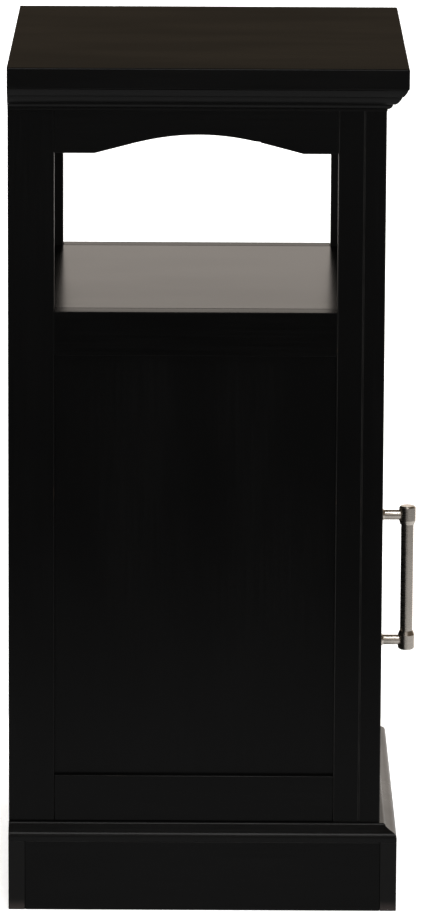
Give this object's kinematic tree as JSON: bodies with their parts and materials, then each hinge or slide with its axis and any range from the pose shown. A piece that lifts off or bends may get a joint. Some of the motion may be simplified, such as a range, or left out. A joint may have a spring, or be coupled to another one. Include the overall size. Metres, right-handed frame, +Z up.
{
  "type": "storage side table",
  "caption": "Tall narrow black side table: moulded top, open bay with arched side windows over a panelled cupboard with an inset door and bar pull, on a moulded plinth.",
  "frame": {"origin": "middle of the floor area that the table covers, door pull included, at floor level", "axes": "+Z up, front faces -Y, +X to the right seen from the front"},
  "size_m": [0.33, 0.3032, 0.635],
  "materials": {
    "black_lacquer": "satin black lacquer over fine-grained hardwood, a little rubbed at the edges",
    "inner_lacquer": "flat black stain inside the carcass",
    "back_board": "thin board painted flat black",
    "raw_wood": "bare softwood",
    "nickel": "brushed nickel, warm grey",
    "hinge_metal": "black painted steel",
    "screw_steel": "zinc plated",
    "strike_steel": "plain steel",
    "catch_plastic": "dark brown moulded plastic"
  },
  "bodies": {
    "carcass": {"back_panel": "back_board", "back_screws": "screw_steel", "back_top_rail": "inner_lacquer", "base_board": "black_lacquer", "base_screws": "screw_steel", "catch_body": "catch_plastic", "catch_screws": "screw_steel", "cleat_screws": "screw_steel", "cornice_front": "black_lacquer", "cornice_left": "black_lacquer", "cornice_right": "black_lacquer", "face_arched_rail": "black_lacquer", "face_left_stile": "black_lacquer", "face_middle_rail": "black_lacquer", "face_right_stile": "black_lacquer", "hinge_frame_screws": "screw_steel", "inner_shelf": "inner_lacquer", "left_arched_rail": "black_lacquer", "left_back_stile": "black_lacquer", "left_bottom_rail": "black_lacquer", "left_front_stile": "black_lacquer", "left_middle_rail": "black_lacquer", "left_shelf_cleat": "inner_lacquer", "left_side_panel": "black_lacquer", "left_top_cleat": "inner_lacquer", "lower_hinge_frame_leaf": "hinge_metal", "lower_hinge_pin": "hinge_metal", "open_shelf": "black_lacquer", "plinth_back": "black_lacquer", "plinth_blocks": "raw_wood", "plinth_front": "black_lacquer", "plinth_left": "black_lacquer", "plinth_right": "black_lacquer", "right_arched_rail": "black_lacquer", "right_back_stile": "black_lacquer", "right_bottom_rail": "black_lacquer", "right_front_stile": "black_lacquer", "right_middle_rail": "black_lacquer", "right_shelf_cleat": "inner_lacquer", "right_side_panel": "black_lacquer", "right_top_cleat": "inner_lacquer", "shelf_pins": "screw_steel", "top_board": "black_lacquer", "upper_hinge_frame_leaf": "hinge_metal", "upper_hinge_pin": "hinge_metal"},
    "door": {"door_bottom_rail": "black_lacquer", "door_left_stile": "black_lacquer", "door_panel": "black_lacquer", "door_right_stile": "black_lacquer", "door_top_rail": "black_lacquer", "hinge_door_screws": "screw_steel", "lower_hinge_door_leaf": "hinge_metal", "pull_bar": "nickel", "pull_ferrules": "nickel", "pull_posts": "nickel", "pull_screws": "screw_steel", "strike_plate": "strike_steel", "strike_screws": "screw_steel", "upper_hinge_door_leaf": "hinge_metal"}
  },
  "joints": [
    {"name": "door_swing", "type": "hinge", "parent": "carcass", "child": "door", "pos_m": [0.114, -0.12825, 0.24225], "axis": [0, 0, 1], "range_deg": [0, 180]}
  ]
}
